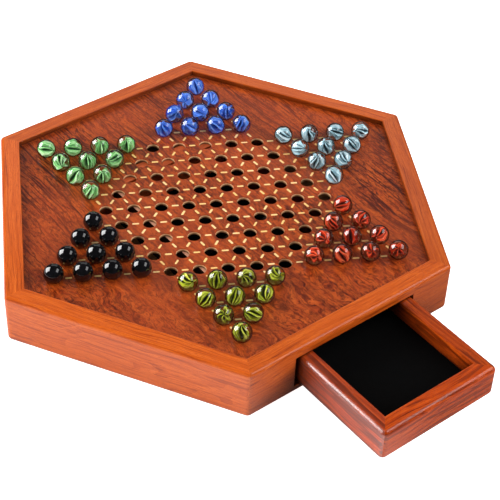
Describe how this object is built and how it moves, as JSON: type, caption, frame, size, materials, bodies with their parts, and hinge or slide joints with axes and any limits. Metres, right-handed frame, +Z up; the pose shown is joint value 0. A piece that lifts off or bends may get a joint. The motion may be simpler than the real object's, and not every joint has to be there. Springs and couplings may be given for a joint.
{
  "type": "chinese checkers board",
  "caption": "Hexagonal wooden chinese checkers board with raised mitred rails, a star of marble holes, coloured glass marbles and a felt-lined storage drawer.",
  "frame": {"origin": "centre of the hexagon on the underside, where the board rests on the table", "axes": "+Z up, the drawer opens towards -Y, +X to the right of someone facing the drawer"},
  "size_m": [0.3926, 0.4332, 0.0529],
  "materials": {
    "rail_wood": "satin lacquered orange-brown hardwood, grain along each rail",
    "panel_veneer": "satin lacquered reddish-brown figured veneer, pale bare wood inside the holes, cream dashes between the holes",
    "base_board": "bare brown plywood",
    "inner_hardwood": "plain reddish-brown hardwood, lightly sealed",
    "inner_ply": "bare pale plywood strip",
    "spline_wood": "bare beech",
    "drawer_wood": "satin lacquered orange-brown hardwood",
    "drawer_board": "bare plywood",
    "screw_steel": "zinc-plated steel",
    "black_lining": "thin black felt, matt",
    "black_felt": "black felt, matt",
    "glass_ice": "clear glass with a pale ice-blue and white vane and dark teal stripes",
    "glass_blue": "clear glass with a cobalt blue vane and paler swirls",
    "glass_green": "clear glass with a mint and emerald green vane",
    "glass_black": "opaque glossy black glass",
    "glass_lime": "clear glass with a lime green vane and dark stripes",
    "glass_red": "clear glass with a red and orange vane and dark stripes"
  },
  "bodies": {
    "board": {"rail_front": "rail_wood", "rail_front_right": "rail_wood", "rail_back_right": "rail_wood", "rail_back": "rail_wood", "rail_back_left": "rail_wood", "rail_front_left": "rail_wood", "play_panel": "panel_veneer", "base_panel": "base_board", "mitre_splines": "spline_wood", "base_screws": "screw_steel", "cross_bar": "inner_hardwood", "divider_left": "inner_ply", "divider_right": "inner_ply", "bay_lining": "black_lining", "drawer_runner": "inner_hardwood"},
    "drawer": {"drawer_front": "drawer_wood", "drawer_side_left": "drawer_wood", "drawer_side_right": "drawer_wood", "drawer_back": "drawer_wood", "drawer_bottom": "drawer_board", "drawer_felt": "black_felt"},
    "set_ice": {"marbles_ice": "glass_ice"},
    "set_blue": {"marbles_blue": "glass_blue"},
    "set_green": {"marbles_green": "glass_green"},
    "set_black": {"marbles_black": "glass_black"},
    "set_lime": {"marbles_lime": "glass_lime"},
    "set_red": {"marbles_red": "glass_red"}
  },
  "joints": [
    {"name": "drawer_slide", "type": "slide", "parent": "board", "child": "drawer", "axis": [0, -1, 0], "range_m": [-0.092, 0.09]},
    {"name": "lift_ice", "type": "slide", "parent": "board", "child": "set_ice", "axis": [0, 0, 1], "range_m": [0, 0.04]},
    {"name": "lift_blue", "type": "slide", "parent": "board", "child": "set_blue", "axis": [0, 0, 1], "range_m": [0, 0.04]},
    {"name": "lift_green", "type": "slide", "parent": "board", "child": "set_green", "axis": [0, 0, 1], "range_m": [0, 0.04]},
    {"name": "lift_black", "type": "slide", "parent": "board", "child": "set_black", "axis": [0, 0, 1], "range_m": [0, 0.04]},
    {"name": "lift_lime", "type": "slide", "parent": "board", "child": "set_lime", "axis": [0, 0, 1], "range_m": [0, 0.04]},
    {"name": "lift_red", "type": "slide", "parent": "board", "child": "set_red", "axis": [0, 0, 1], "range_m": [0, 0.04]}
  ]
}
